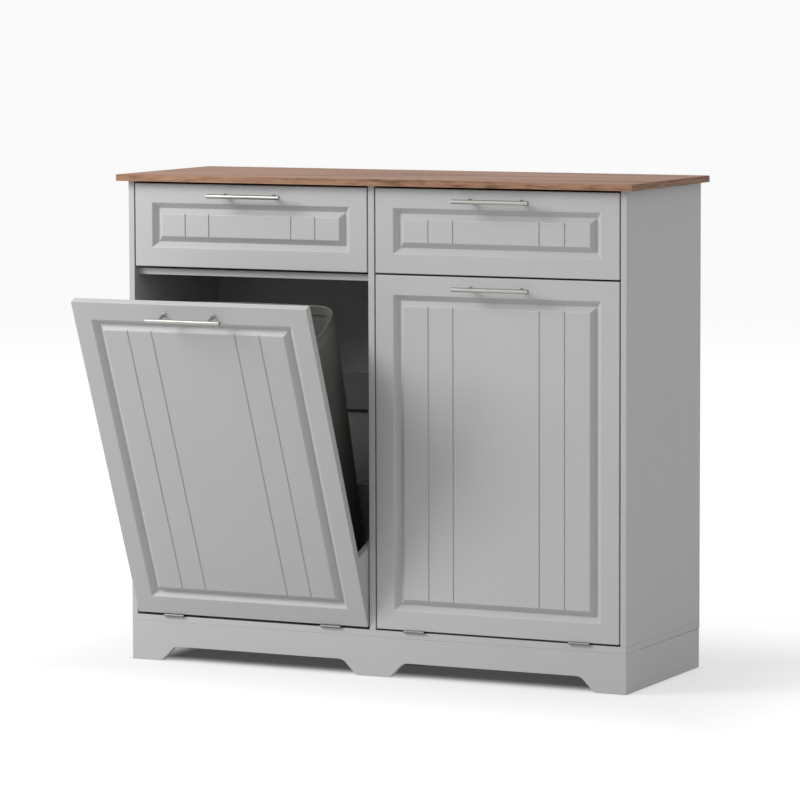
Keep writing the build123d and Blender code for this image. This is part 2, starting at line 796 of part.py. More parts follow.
def all_nodes():
    """Every piece of the cabinet by its node's name."""
    signs = (-1, 1)
    nodes = {
        "worktop": worktop(),
        "left_side_panel": side_panel(-1),
        "right_side_panel": side_panel(1),
        "centre_divider": centre_divider(),
        "bottom_board": bottom_board(),
        "drawer_shelves": group([drawer_shelf(sign) for sign in signs]),
        "back_panel": back_panel(),
        "back_rails": group([back_rail(sign) for sign in signs]),
        "front_plinth": front_plinth(),
        "side_plinths": group([side_plinth(sign) for sign in signs]),
        "rear_plinth_rail": rear_plinth_rail(),
        "centre_leg": centre_leg(),
        "panel_dowels": group([dowel(place) for place in dowel_places()]),
        "back_panel_screws": group([back_screw(x, z) for x, z in back_screw_places()]),
        "stop_blocks": group([stop_block(side, sign) for side in side_sign for sign in signs]),
        "stop_bumpers": group([stop_bumper(x) for side in side_sign for x in stop_places(side)]),
        "runner_channels": group([runner_channel(side, sign) for side in side_sign for sign in signs]),
    }
    middles = [x for side in side_sign for x in hinge_middles(side)]
    nodes["hinge_base_leaves"] = group([hinge_leaf_piece(x, -1) for x in middles])
    nodes["hinge_pins"] = group([hinge_pin(x) for x in middles])
    nodes["hinge_base_screws"] = group([leaf_screw(at, -1) for x in middles for at in leaf_screw_xs(x)])
    for side in side_sign:
        nodes.update(bin_unit(side))
        nodes.update(drawer_unit(side))
    return nodes


def handle_nodes(name, x, top):
    """A handle's bar, its two posts and their screws."""
    places = handle_places(x, top)
    return {
        f"{name}_handle_bar": handle_bar(x, top),
        f"{name}_handle_posts": group([handle_post(*place) for place in places]),
        f"{name}_handle_screws": group([handle_screw(*place) for place in places]),
    }


def bin_unit(side):
    """The pieces that tilt together, at their rest angle."""
    middles = hinge_middles(side)
    shut = {
        f"{side}_door": door(side),
        **handle_nodes(f"{side}_door", bay_x[side], door_high),
        f"{side}_tray_sides": group([tray_side(side, sign) for sign in (-1, 1)]),
        f"{side}_tray_back": tray_back(side),
        f"{side}_tray_base": tray_base(side),
        f"{side}_bin": bin_shell(side),
        f"{side}_hinge_door_leaves": group([hinge_leaf_piece(x, 1) for x in middles]),
        f"{side}_hinge_door_screws": group([leaf_screw(at, 1) for x in middles for at in leaf_screw_xs(x)]),
    }
    return {name: swung(side, shape) for name, shape in shut.items()}


def drawer_unit(side):
    """A drawer with its runners' moving members, balls and cages."""
    signs = (-1, 1)
    balls = [Pos(*place) * Sphere(ball_radius) for sign in signs for place in ball_places(side, sign)]
    return {
        f"{side}_drawer_front": drawer_front(side),
        **handle_nodes(f"{side}_drawer", bay_x[side], drawer_high),
        f"{side}_drawer_sides": group([drawer_side(side, sign) for sign in signs]),
        f"{side}_drawer_back": drawer_back(side),
        f"{side}_drawer_bottom": drawer_bottom(side),
        f"{side}_drawer_rails": group([runner_rail(side, sign) for sign in signs]),
        f"{side}_runner_cages": group([ball_cage(side, sign) for sign in signs]),
        f"{side}_runner_balls": group(balls),
    }


os.makedirs("parts", exist_ok=True)
for node_name, node_shape in all_nodes().items():
    export_step(node_shape, f"parts/{node_name}.step")
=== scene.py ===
# %% [markdown]
# # A tilt-out bin cabinet, dressed in Blender
# The packed CAD model is the fixed frame: it says how big every board is and where it stands. This
# lesson adds what CAD leaves out. Boards get eased edges, the fronts their routed valley, the bins
# their moulded wall, and every surface the finish that a maker would give it.

# %% Load the frame
import json
import math

import bpy
import numpy as np
from mathutils import Matrix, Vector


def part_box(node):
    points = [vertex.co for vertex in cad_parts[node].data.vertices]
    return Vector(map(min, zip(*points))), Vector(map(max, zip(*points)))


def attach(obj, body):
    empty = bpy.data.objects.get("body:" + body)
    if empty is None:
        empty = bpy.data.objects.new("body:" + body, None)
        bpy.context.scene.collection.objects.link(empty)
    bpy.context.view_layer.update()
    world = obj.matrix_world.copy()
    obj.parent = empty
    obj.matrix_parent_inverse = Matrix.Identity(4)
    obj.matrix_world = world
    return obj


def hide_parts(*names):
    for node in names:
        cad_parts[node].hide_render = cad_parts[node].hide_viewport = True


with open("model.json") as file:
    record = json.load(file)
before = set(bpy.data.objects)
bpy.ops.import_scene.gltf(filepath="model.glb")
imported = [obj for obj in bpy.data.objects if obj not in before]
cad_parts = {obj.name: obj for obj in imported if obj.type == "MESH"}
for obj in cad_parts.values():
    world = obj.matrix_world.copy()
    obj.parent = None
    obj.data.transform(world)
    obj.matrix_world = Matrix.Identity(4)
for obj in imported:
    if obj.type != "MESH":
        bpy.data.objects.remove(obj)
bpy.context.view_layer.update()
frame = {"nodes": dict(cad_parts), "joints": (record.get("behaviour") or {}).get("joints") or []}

MM = 0.001

# %% [markdown]
# ## The camera
# The photograph was taken with a long lens from the cabinet's right, a little above the worktop.
# The camera's place, turn and lens were worked out from the cabinet's straight edges. The camera is
# tilted down, so its shift stays at zero.

# %% Put up the camera
CAMERA_PLACE, CAMERA_REACH = (3.4522, -7.1941, 1.2800), 100.0
CAMERA_TURN, CAMERA_TILT, CAMERA_ROLL = 25.808, 84.343, -0.201
CAMERA_LENS = 195.65


def turned(degrees, axis):
    """A turn about one axis as a matrix."""
    return Matrix.Rotation(math.radians(degrees), 4, axis)


camera = bpy.data.objects.new("camera", bpy.data.cameras.new("camera"))
camera.data.lens, camera.data.clip_end = CAMERA_LENS, CAMERA_REACH
camera.matrix_world = (
    Matrix.Translation(CAMERA_PLACE)
    @ turned(CAMERA_TURN, "Z") @ turned(CAMERA_TILT, "X") @ turned(CAMERA_ROLL, "Z")
)
scene = bpy.context.scene
scene.collection.objects.link(camera)
scene.camera = camera
scene.view_settings.view_transform = "Standard"
print("camera at", CAMERA_PLACE, "lens", CAMERA_LENS)

# %% [markdown]
# ## Shader maths
# A material is a network of nodes. Written out node by node it is hard to read, so one small class
# wraps a socket, and an expression such as `1 - wear * 0.3` adds its Math nodes by itself. Every
# other node comes from one method: its type, its settings, then what goes into its sockets.


# %% Signals
class Signal:
    """A value or colour on its way through a material."""

    def __init__(self, recipe, socket):
        self.recipe, self.socket = recipe, socket

    def math(self, operation, *values):
        """One Math node on the values given."""
        return self.recipe.add("Math", {"operation": operation}, dict(enumerate(values)))

    def __add__(self, other):
        return self.math("ADD", self, other)

    def __sub__(self, other):
        return self.math("SUBTRACT", self, other)

    def __rsub__(self, other):
        return self.math("SUBTRACT", other, self)

    def __mul__(self, other):
        return self.math("MULTIPLY", self, other)

    def __pow__(self, other):
        return self.math("POWER", self, other)

    def __abs__(self):
        return self.math("ABSOLUTE", self)

    __radd__, __rmul__ = __add__, __mul__

    def larger(self, other):
        """The larger of two values."""
        return self.math("MAXIMUM", self, other)

    def output(self, name):
        """Another output of the same node."""
        return Signal(self.recipe, self.socket.node.outputs[name])


print("a signal knows", *vars(Signal))

# %% Recipes
# A Mix node keeps its sockets for each kind of data: the first and second input, and the output.
MIX_SOCKETS = {"VECTOR": (4, 5, 1), "RGBA": (6, 7, 2)}


class Recipe:
    """A material, or the world's light, in the making."""

    def __init__(self, owner):
        owner.use_nodes = True
        self.owner, self.tree = owner, owner.node_tree
        self.tree.nodes.clear()

    def add(self, kind, settings=None, sockets=None, output=0):
        """One node: its type, its settings, then the values or links of its sockets."""
        node = self.tree.nodes.new("ShaderNode" + kind)
        for key, value in (settings or {}).items():
            if key == "stops":
                self.set_stops(node.color_ramp, value)
            else:
                setattr(node, key, value)
        for key, value in (sockets or {}).items():
            if isinstance(value, Signal):
                self.tree.links.new(value.socket, node.inputs[key])
            else:
                node.inputs[key].default_value = value
        return Signal(self, node.outputs[output]) if len(node.outputs) else None

    def set_stops(self, ramp, stops):
        """A colour ramp's stops, as pairs of place and colour."""
        while len(ramp.elements) < len(stops):
            ramp.elements.new(1.0)
        for element, (place, colour) in zip(ramp.elements, stops):
            element.position, element.color = place, (*colour, 1.0)

    def place(self):
        """Where a point of the surface is, in metres."""
        return self.add("TexCoord", output="Object")

    def axes(self, vector):
        """A vector's three parts."""
        parts = self.add("SeparateXYZ", sockets={0: vector})
        return parts, parts.output("Y"), parts.output("Z")

    def stretched(self, vector, scale, shift=(0.0, 0.0, 0.0)):
        """A pattern's own space: scale is how often it repeats in a metre, along each axis."""
        return self.add("Mapping", sockets={"Vector": vector, "Scale": scale, "Location": shift})

    def noise(self, vector, scale=1.0, detail=2.0, roughness=0.5, distortion=0.0):
        """Cloudy noise about 0.5."""
        sockets = {"Vector": vector, "Scale": scale, "Detail": detail, "Roughness": roughness}
        return self.add("TexNoise", sockets={**sockets, "Distortion": distortion})

    def step(self, value, low, high):
        """Rises smoothly from 0 to 1 between two values."""
        smooth = {"interpolation_type": "SMOOTHSTEP"}
        return self.add("MapRange", smooth, {0: value, 1: low, 2: high})

    def mix(self, amount, first, second, kind="RGBA", **settings):
        """A colour or vector between two of them."""
        low, high, output = MIX_SOCKETS[kind]
        sockets = {0: amount, low: first, high: second}
        return self.add("Mix", {"data_type": kind, **settings}, sockets, output)

    def shade(self, colour, amount):
        """A colour made lighter or darker by a factor."""
        return self.add("VectorMath", {"operation": "SCALE"}, {0: colour, "Scale": amount})

    def relief(self, height, depth, under=None):
        """The surface's direction over a height from 0 to 1 that stands for a depth in metres."""
        sockets = {"Strength": 1.0, "Distance": depth, "Height": height}
        if under is not None:
            sockets["Normal"] = under
        return self.add("Bump", sockets=sockets)

    def surface(self, **sockets):
        """The finished surface of the material."""
        named = {key.replace("_", " "): value for key, value in sockets.items()}
        shader = self.add("BsdfPrincipled", sockets=named)
        self.add("OutputMaterial", sockets={"Surface": shader})
        return self.owner


def material(name):
    """An empty material to write a recipe for."""
    return Recipe(bpy.data.materials.new(name))


print("a recipe knows", *vars(Recipe))

# %% [markdown]
# ## The paint
# The fronts and the carcase are fibreboard under satin grey lacquer. Sprayed lacquer isn't glassy:
# it dries with a shallow orange peel, over which the light softens, and a sprayer's passes leave it
# a hair lighter here and darker there. Both are worked out from the place on the board, so the
# pattern is the right size on a wide door and on a narrow edge alike. The drawer boxes are wrapped
# in a flatter foil, and the rails inside the bays have only their darker primer.

# %% Satin lacquer, foil and primer
PEEL_PITCH, PEEL_DEPTH, THIN_PEEL = 420.0, 0.010 * MM, 0.006 * MM
FIBRE_PITCH, FIBRE_DEPTH = 2600.0, 0.0025 * MM
DRIFT_PITCH, PASS_SPACE, PATCH_PITCH = 3.5, (9.0, 9.0, 34.0), 60.0
DRIFT_TONE, PASS_TONE, PATCH_GLOSS, PEEL_GLOSS = 0.035, 0.02, 0.10, 0.06


def lacquer(name, colour, sheen, depth=PEEL_DEPTH):
    """Satin lacquer over fibreboard: a shallow peel, a fine tooth and a slow drift of tone."""
    recipe = material(name)
    place = recipe.place()
    drift = recipe.noise(place, DRIFT_PITCH, detail=3.0) - 0.5
    passes = recipe.noise(recipe.stretched(place, PASS_SPACE)) - 0.5
    patches = recipe.noise(place, PATCH_PITCH, detail=3.0) - 0.5
    peel = recipe.noise(place, PEEL_PITCH, detail=1.5)
    tooth = recipe.noise(place, FIBRE_PITCH)
    return recipe.surface(
        Base_Color=recipe.shade(colour, 1.0 + drift * DRIFT_TONE + passes * PASS_TONE),
        Roughness=sheen + patches * PATCH_GLOSS + (peel - 0.5) * PEEL_GLOSS,
        Normal=recipe.relief(tooth, FIBRE_DEPTH, recipe.relief(peel, depth)),
        Specular_IOR_Level=0.42,
    )


paint = lacquer("satin_grey_lacquer", (0.457, 0.457, 0.462), 0.47)
foil = lacquer("matt_grey_foil", (0.43, 0.432, 0.440), 0.56, THIN_PEEL)
primer = lacquer("grey_primer", (0.27, 0.265, 0.275), 0.60, THIN_PEEL)
print("made", paint.name, foil.name, primer.name)

# %% [markdown]
# ## The worktop
# A thin board with a walnut print. On the top the grain runs from end to end in soft bands. The
# edge strips are cut from the same print, so their grain follows each edge, and they look warmer
# and stronger because the light doesn't graze them. Both end strips are also made darker, which is
# painted shade. Real grain is a cut through nested cones, so the rings here are distances from a
# slightly tilted heart line that wanders with the board.

# %% Colours and patterns of the walnut print
WALNUT_PALE, WALNUT_MID = (0.372, 0.209, 0.137), (0.280, 0.147, 0.094)
WALNUT_DARK, MID_STOP = (0.130, 0.063, 0.037), 0.42
STRIP_TINT, EDGE_STRIP = (1.02, 1.06, 1.05, 1.0), 0.6 * MM
# The end strips' darkening is painted shade on the end faces.
STRIP_PALER, END_PAINTED_SHADE, END_LEAN = 0.06, 0.10, 3.0
WANDER_SPACE, BAND_SPACE, STREAK_SPACE = (1.6, 5.0, 5.0), (0.9, 17.0, 17.0), (3.5, 210.0, 210.0)
FIGURE_SPACE, FIGURE_SHIFT = (26.0, 190.0, 190.0), (3.0, 0.0, 0.0)
PORE_SPACE, PORE_RISE, PORE_DARK = (42.0, 1900.0, 1900.0), (0.62, 0.72), 0.45
RING_SHARE, BAND_SHARE, STREAK_SHARE, FIGURE_SHARE = 0.34, 1.3, 1.5, 2.1
RING_PITCH, HEART_START, HEART_SLOPE, HEART_RISE = 190.0, 0.18, 0.055, 0.6
STREAK_DEPTH, PORE_DEPTH = 0.02 * MM, 0.012 * MM
worktop_low, worktop_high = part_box("worktop")
print("worktop from", worktop_low, "to", worktop_high)


# %% Walnut laminate
def nested_rings(recipe, along, wander):
    """A wave from 0 to 1 over the distance from a heart line that runs along x, tilted."""
    grain_x, grain_y, grain_z = recipe.axes(along)
    across = grain_y + wander * 0.10
    below = (grain_x + HEART_START) * HEART_SLOPE + grain_z * HEART_RISE + wander * 0.02
    rings_at = ((across * across + below * below) ** 0.5) * RING_PITCH
    return (rings_at.math("SINE", rings_at) + 1.0) * 0.5


def walnut():
    """Nested rings round a tilted heart line, soft bands, fine streaks and open pores."""
    recipe = material("walnut_print_laminate")
    place = recipe.place()
    x, y, z = recipe.axes(place)
    end, lip, top = worktop_high.x, -worktop_low.y, worktop_high.z
    at_end = recipe.step(abs(x), end - EDGE_STRIP, end - EDGE_STRIP / 2)
    at_lip = recipe.step(-1.0 * y, lip - EDGE_STRIP, lip - EDGE_STRIP / 2)
    on_edge = at_end.larger(at_lip) * recipe.step(z, top, top - EDGE_STRIP)
    turned_place = recipe.add("CombineXYZ", sockets={0: y, 1: x + z * END_LEAN, 2: z})
    along = recipe.mix(at_end, place, turned_place, "VECTOR")

    wander = recipe.noise(recipe.stretched(along, WANDER_SPACE), detail=3.0) - 0.5
    rings = nested_rings(recipe, along, wander)
    bands = recipe.noise(recipe.stretched(along, BAND_SPACE))
    streaks = recipe.noise(recipe.stretched(along, STREAK_SPACE), detail=4.0, roughness=0.6)
    strip_space = recipe.stretched(along, FIGURE_SPACE, FIGURE_SHIFT)
    figure = recipe.noise(strip_space, detail=3.0, roughness=0.55, distortion=0.4)
    pores = recipe.step(recipe.noise(recipe.stretched(along, PORE_SPACE)), *PORE_RISE)

    soft = (rings - 0.5) * RING_SHARE + (bands - 0.5) * BAND_SHARE + (streaks - 0.5) * STREAK_SHARE
    strip = on_edge * ((figure - 0.5) * FIGURE_SHARE + STRIP_PALER)
    # Darker end strips: painted shade on both end faces.
    tone = soft + 0.5 + strip - at_end * END_PAINTED_SHADE
    stops = [(0.0, WALNUT_DARK), (MID_STOP, WALNUT_MID), (1.0, WALNUT_PALE)]
    colour = recipe.add("ValToRGB", {"stops": stops}, {0: tone})
    warm = recipe.mix(on_edge, colour, STRIP_TINT, blend_type="MULTIPLY")
    grooves = recipe.relief(streaks, STREAK_DEPTH)
    return recipe.surface(
        Base_Color=recipe.mix(pores * PORE_DARK, warm, (*WALNUT_DARK, 1.0)),
        Roughness=0.52 + (streaks - 0.5) * 0.16 + pores * 0.18,
        Normal=recipe.relief(1.0 - pores * 0.8, PORE_DEPTH, grooves),
        Specular_IOR_Level=0.10,
    )


wood = walnut()
print("made", wood.name)

# %% [markdown]
# ## Metals
# Handle bars are brushed lengthwise, so their fine scratches run along the bar and blur the light
# across it. Screws, runners and hinges are plated steel, where the plating clouds a little. A metal
# has no colour of its own under the light, so its base colour is the colour of its reflections.

# %% Brushed and plated metals
CLOUD_PITCH, SCRATCH_TONE, SCRATCH_GLOSS, CLOUD_GLOSS = 55.0, 0.10, 0.14, 0.08


def metal(name, colour, gloss, scratch_space, scratch_depth=0.004 * MM, cloud_tone=0.05):
    """Plated or brushed metal: scratches stretched along one axis, and clouds in the plating."""
    recipe = material(name)
    place = recipe.place()
    scratches = recipe.noise(recipe.stretched(place, scratch_space), detail=3.0, roughness=0.6)
    clouds = recipe.noise(place, CLOUD_PITCH, detail=3.0) - 0.5
    tone = 1.0 + clouds * cloud_tone + (scratches - 0.5) * SCRATCH_TONE
    return recipe.surface(
        Base_Color=recipe.shade(colour, tone), Metallic=1.0,
        Roughness=gloss + (scratches - 0.5) * SCRATCH_GLOSS + clouds * CLOUD_GLOSS,
        Normal=recipe.relief(scratches, scratch_depth),
    )


BRUSHED, FILED, EVEN = (60.0, 5200.0, 5200.0), (30.0, 2400.0, 2400.0), (900.0, 900.0, 900.0)
ROLLED, LAPPED = (1400.0, 9.0, 1400.0), (600.0, 600.0, 600.0)
nickel = metal("satin_brushed_nickel", (0.38, 0.37, 0.35), 0.31, BRUSHED, 0.002 * MM)
hinge_plate = metal("dull_plated_hinge", (0.22, 0.22, 0.22), 0.55, FILED)
screw_plate = metal("zinc_plated_screw", (0.60, 0.61, 0.63), 0.34, EVEN)
runner_plate = metal("zinc_plated_sheet", (0.56, 0.57, 0.59), 0.38, ROLLED, cloud_tone=0.14)
ball_steel = metal("bearing_steel", (0.74, 0.74, 0.75), 0.10, LAPPED, 0.0005 * MM)
print("made", [m.name for m in (nickel, hinge_plate, screw_plate, runner_plate, ball_steel)])

# %% [markdown]
# ## Plastics, rubber and bare wood
# The bins are moulded in a dark olive grey with a fine spark-eroded grain that keeps fingerprints
# from showing. The back panel is hardboard with a printed grey face, the dowels are bare beech.

# %% Moulded, printed and bare surfaces
FLOW_SPACE, FLECK_SPACE, RAY_SPACE = (7.0, 7.0, 2.5), (260.0, 260.0, 900.0), (700.0, 700.0, 160.0)
PRINT_GREY, BEECH_PALE, BEECH_RAY = (0.36, 0.36, 0.37), (0.60, 0.44, 0.28), (0.44, 0.29, 0.17)


def moulded(name, colour, gloss, grain_pitch, grain_depth):
    """A moulded surface with an even fine grain and slow changes of gloss from the melt's flow."""
    recipe = material(name)
    place = recipe.place()
    grain = recipe.noise(place, grain_pitch, roughness=0.6)
    flow = recipe.noise(recipe.stretched(place, FLOW_SPACE), detail=3.0) - 0.5
    return recipe.surface(
        Base_Color=recipe.shade(colour, 1.0 + flow * 0.14 + (grain - 0.5) * 0.10),
        Roughness=gloss + flow * 0.12 + (grain - 0.5) * 0.10,
        Normal=recipe.relief(grain, grain_depth),
    )


def pressed_board():
    """Hardboard with a printed face: flecks of fibre under a thin matt print."""
    recipe = material("grey_faced_hardboard")
    place = recipe.place()
    flecks = recipe.noise(recipe.stretched(place, FLECK_SPACE), detail=4.0, roughness=0.7) - 0.5
    clouds = recipe.noise(place, 8.0, detail=3.0) - 0.5
    return recipe.surface(
        Base_Color=recipe.shade(PRINT_GREY, 1.0 + flecks * 0.10 + clouds * 0.06),
        Roughness=0.68 + flecks * 0.12, Normal=recipe.relief(flecks, 0.015 * MM),
    )


def bare_beech():
    """Beech: pink-brown with short dark rays along the grain."""
    recipe = material("bare_beech")
    rays = recipe.noise(recipe.stretched(recipe.place(), RAY_SPACE), detail=3.0)
    colour = recipe.mix(recipe.step(rays, 0.45, 0.7), (*BEECH_PALE, 1.0), (*BEECH_RAY, 1.0))
    return recipe.surface(Base_Color=colour, Roughness=0.62, Normal=recipe.relief(rays, 0.03 * MM))


olive = moulded("olive_grey_polypropylene", (0.122, 0.118, 0.104), 0.46, 1500.0, 0.012 * MM)
acetal = moulded("natural_acetal", (0.75, 0.75, 0.73), 0.40, 2400.0, 0.003 * MM)
rubber = moulded("black_rubber", (0.03, 0.03, 0.03), 0.72, 1800.0, 0.01 * MM)
print("made", olive.name, acetal.name, rubber.name)

# %% A finish for every CAD node
finishes = {
    "painted_board": paint, "box_board": foil, "walnut_laminate": wood,
    "hardboard": pressed_board(), "beech_dowel": bare_beech(), "brushed_nickel": nickel,
    "nickel_hinge": hinge_plate, "zinc_screw": screw_plate, "zinc_sheet": runner_plate,
    "steel_ball": ball_steel, "cage_plastic": acetal, "rubber_bumper": rubber, "bin_plastic": olive,
}
for node in frame["nodes"].values():
    place = node.material_slots[0]
    place.material = finishes[place.material.name.split(".")[0]]
print("finished", len(frame["nodes"]), "CAD nodes in", len(finishes), "finishes")

# %% [markdown]
# ## Making a surface
# Nearly every new piece here is a closed outline carried along a path: at each station the outline
# is drawn again, drawn in a little where an edge is to be eased. The whole stack of rings is one
# numpy array. Flat ends close it, so the piece is solid.


# %% Outlines and rings
def corner_arc(centre, radius, start, steps, sweep=90.0):
    """Points and outward directions round an arc: centre + radius (cos a, sin a)."""
    angles = np.radians(start + np.linspace(0.0, sweep, steps + 1))
    ways = np.stack([np.cos(angles), np.sin(angles)], -1)
    return np.asarray(centre) + radius * ways, ways


def rounded_outline(low, high, radii, steps=3):
    """A rectangle whose corners are quarter circles, drawn anticlockwise from the lower left."""
    (u0, v0), (u1, v1) = low, high
    corners = [(u0, v0, 1, 1), (u1, v0, -1, 1), (u1, v1, -1, -1), (u0, v1, 1, -1)]
    arcs = [
        corner_arc((u + a * radius, v + b * radius), radius, 180.0 + 90.0 * i, steps)
        for i, ((u, v, a, b), radius) in enumerate(zip(corners, radii))
    ]
    return np.concatenate([arc[0] for arc in arcs]), np.concatenate([arc[1] for arc in arcs])


def eased_stations(low, high, edge, steps=3):
    """Stations of a board: a quarter circle of draw-in at each end, as pairs of place and inset."""
    angles = np.radians(np.linspace(0.0, 90.0, steps + 1))
    rise, inset = edge * (1 - np.cos(angles)), edge * (1 - np.sin(angles))
    places = np.concatenate([low + rise, (high - rise)[::-1]])
    return np.stack([places, np.concatenate([inset, inset[::-1]])], -1)


print("outline points", len(rounded_outline((0.0, 0.0), (1.0, 1.0), (0.1,) * 4)[0]))

# %% An outline carried along an axis
AXIS_TURN = {"z": 0, "x": 1, "y": 2}


def ring_faces(rings, around):
    """Quads between each ring and the next, and one flat face over each end."""
    start = np.arange(rings - 1)[:, None] * around + np.arange(around)
    after = np.arange(rings - 1)[:, None] * around + (np.arange(around) + 1) % around
    quads = np.stack([start, after, after + around, start + around], -1).reshape(-1, 4)
    first, last = np.arange(around)[::-1], (rings - 1) * around + np.arange(around)
    return quads.tolist() + [first.tolist(), last.tolist()]


def carried(outline, ways, stations, axis="z"):
    """An outline carried along an axis: at each station every point moves in along its own way."""
    flat = outline[None] - stations[:, 1, None, None] * ways[None]
    along = np.broadcast_to(stations[:, 0, None, None], (*flat.shape[:2], 1))
    points = np.concatenate([flat, along], -1).reshape(-1, 3)
    return np.roll(points, AXIS_TURN[axis], axis=1), ring_faces(len(stations), len(outline))


def lathe(profile, centre, axis, around=32):
    """A turned piece: profile gives pairs of place along the axis and radius."""
    circle, ways = corner_arc((0.0, 0.0), 1.0, 0.0, around, 360.0)
    stations = np.stack([profile[:, 0], np.zeros(len(profile))], -1)
    points, faces = carried(circle[:-1], ways[:-1], stations)
    points[:, :2] *= np.repeat(profile[:, 1], around)[:, None]
    return np.roll(points, AXIS_TURN[axis], axis=1) + np.asarray(centre), faces


print("a piece can run along", sorted(AXIS_TURN))

# %% [markdown]
# A piece is joined from its parts, shaded smooth with its sharp edges kept, and told which body it
# rides on, which finish it has and which CAD node it stands for. A weighted-normal modifier lets
# the wide flat faces decide the shading, so an eased edge doesn't bend the light on a whole board.

# %% Finishing a piece
SHARP_ANGLE = 42.0


def piece(name, parts, body, slot, node, finish=None):
    """One object from (points, faces) parts, riding on its body, standing for a CAD node."""
    starts = np.cumsum([0] + [len(points) for points, _ in parts]).tolist()
    points = np.concatenate([points for points, _ in parts])
    faces = [
        [i + start for i in face] for (_, part), start in zip(parts, starts) for face in part
    ]
    mesh = bpy.data.meshes.new(name)
    mesh.from_pydata(points.tolist(), [], faces)
    mesh.shade_smooth()
    mesh.set_sharp_from_angle(angle=math.radians(SHARP_ANGLE))
    mesh.materials.append(finish or finishes[slot])
    built = bpy.data.objects.new(name, mesh)
    scene.collection.objects.link(built)
    built.modifiers.new("even shading", "WEIGHTED_NORMAL").keep_sharp = True
    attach(built, body)
    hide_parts(node)


def size_of(low, high):
    """A box's corners in tenths of a millimetre, for printing."""
    return [[round(value / MM, 1) for value in corner] for corner in (low, high)]


def corners_of(node):
    """A CAD node's lowest and highest corners as arrays."""
    return tuple(np.array(corner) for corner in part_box(node))


print("the left bin's CAD box", size_of(*corners_of("left_bin")))

# %% [markdown]
# ## Left and right
# The cabinet's halves are mirror images, but the left bin stands open. So each left piece starts as
# the right one's box on the other side, and those that ride with the left door are then turned
# about the hinge pins by the angle at which the joint says it stands open.

# %% Mirrored and swung open
tilt = next(joint for joint in frame["joints"] if joint["name"] == "left_bin_tilt")
OPEN_ANGLE = -math.radians(tilt["range_deg"][0])
PIVOT = np.array(tilt["pos_m"])
SIDES = ("right", "left")


def mirrored(low, high):
    """The same box on the other side of the cabinet's middle."""
    return np.array([-high[0], low[1], low[2]]), np.array([-low[0], high[1], high[2]])


def on_side(side, box):
    """A box of the right half, or its mirror image."""
    return mirrored(*box) if side == "left" else box


def hung(side, part):
    """A part of a bin unit, drawn shut: the left one's points turn about the pins."""
    if side == "right":
        return part
    points, faces = part
    c, s = math.cos(OPEN_ANGLE), math.sin(OPEN_ANGLE)
    turn = np.array([[1, 0, 0], [0, c, -s], [0, s, c]])
    return (points - PIVOT) @ turn.T + PIVOT, faces


print("left unit stands open by", round(math.degrees(OPEN_ANGLE), 1), "degrees")

# %% [markdown]
# ## Carcase boards
# Sawn boards leave the saw with edges that would cut a finger and hold no paint, so each arris is
# taken off by about half a millimetre. The front edges that hands and hips pass have a larger
# round. A board is a rounded outline carried along its length with its ends eased.

# %% Eased boards
ARRIS, EASED, FRONT_ROUND = 0.6 * MM, 0.65 * MM, 1.5 * MM
ALL_EASED, BOTH_ROUND = (EASED,) * 4, (FRONT_ROUND, FRONT_ROUND, EASED, EASED)
SIDE_ROUNDS = {
    "left": (FRONT_ROUND, EASED, EASED, EASED), "right": (EASED, FRONT_ROUND, EASED, EASED),
}


def board(low, high, axis="z", radii=ALL_EASED):
    """A board between two corners, with its long edges rounded and its ends eased."""
    low, high = (np.roll(np.asarray(corner), -AXIS_TURN[axis]) for corner in (low, high))
    outline, ways = rounded_outline(low[:2], high[:2], radii)
    return carried(outline, ways, eased_stations(low[2], high[2], ARRIS), axis)


def both_bays(node):
    """A node's two boards, one across each bay."""
    low, high = corners_of(node)
    low[0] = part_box("centre_divider")[1].x
    return [board(*on_side(side, (low, high)), "x") for side in SIDES]


def fixed(name, node, parts=None, slot="painted_board", finish=None):
    """A piece of the standing cabinet: the parts given, or else one upright board."""
    piece(name, parts or [board(*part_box(node))], "cabinet", slot, node, finish)


print("arris", ARRIS, "long edges", EASED, "front round", FRONT_ROUND)

# %% The carcase
for side, radii in SIDE_ROUNDS.items():
    panel = f"{side}_side_panel"
    fixed(f"{side}_side_board", panel, [board(*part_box(panel), radii=radii)])
fixed("divider_board", "centre_divider")
fixed("base_board", "bottom_board", [board(*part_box("bottom_board"), radii=BOTH_ROUND)])
fixed("shelf_boards", "drawer_shelves", both_bays("drawer_shelves"))
fixed("rail_boards", "back_rails", both_bays("back_rails"), finish=primer)
fixed("leg_block", "centre_leg")
fixed("rear_foot_rail", "rear_plinth_rail", [board(*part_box("rear_plinth_rail"), "x")])
worktop = board(worktop_low, worktop_high, radii=BOTH_ROUND)
fixed("walnut_top", "worktop", [worktop], "walnut_laminate")

# %% [markdown]
# ## The arched plinth
# The skirt stands on three feet with a flat arch between each pair. Its outline has no sharp inside
# corner: a router bit can't cut one, and paint would gather there. The outline is walked once as
# arcs and straight lines, then carried through the board's thickness. At the ends the board is
# mitred to the side skirts, so its points are held inside the mitre's line.

# %% An outline with soft corners
FOOT_SIDE, FOOT_CENTRE, ARCH_HEIGHT = 62.0 * MM, 68.0 * MM, 27.5 * MM
ARCH_ROUND, FOOT_ROUND, FOOT_CORNER = 20.0 * MM, 9.0 * MM, 4.0 * MM
SKIRT_ARRIS, SKIRT_STEPS = 1.0 * MM, 6


